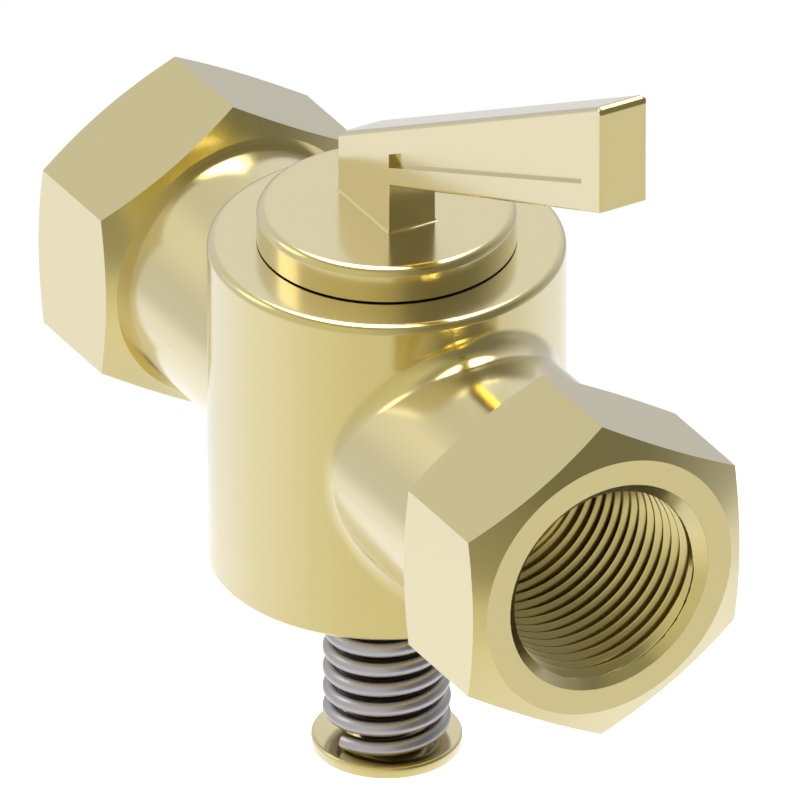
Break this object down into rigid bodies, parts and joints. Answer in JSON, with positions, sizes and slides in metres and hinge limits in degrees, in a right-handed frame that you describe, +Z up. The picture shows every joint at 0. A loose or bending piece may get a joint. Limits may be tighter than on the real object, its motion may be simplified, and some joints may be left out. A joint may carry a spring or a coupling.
{
  "type": "lever plug valve",
  "caption": "Brass taper plug valve with a sloping lever, hexagonal female threaded pipe ends in line, and an exposed spring that holds the plug in its seat.",
  "frame": {"origin": "where the pipe run's axis crosses the plug's axis, in the middle of the barrel", "axes": "+X along the pipe run towards the outlet, which is also where the lever points when the valve is open; +Z up the plug's axis towards the lever; +Y completes the right-handed frame"},
  "size_m": [0.1068, 0.0422, 0.1165],
  "materials": {
    "body_brass": "bright machined",
    "plug_brass": "bright machined",
    "trim_brass": "bright machined",
    "spring_steel": "bright drawn wire",
    "pin_steel": "ground",
    "seal_rubber": "matt"
  },
  "bodies": {
    "body": {"valve_body": "body_brass", "stop_pin": "pin_steel"},
    "spring_carrier": {"compression_spring": "spring_steel", "spring_retainer": "trim_brass"},
    "plug": {"plug_lever": "plug_brass", "upper_seal": "seal_rubber", "lower_seal": "seal_rubber", "retaining_screw": "trim_brass"}
  },
  "joints": [
    {"name": "plug_lift", "type": "slide", "parent": "body", "child": "spring_carrier", "axis": [0, 0, 1], "range_m": [0, 0.0012], "stiffness_N_per_m": 9000, "springref_m": -0.005, "deforming": ["compression_spring"]},
    {"name": "lever_turn", "type": "hinge", "parent": "spring_carrier", "child": "plug", "pos_m": [0, 0, 0], "axis": [0, 0, -1], "range_deg": [0, 90]}
  ]
}
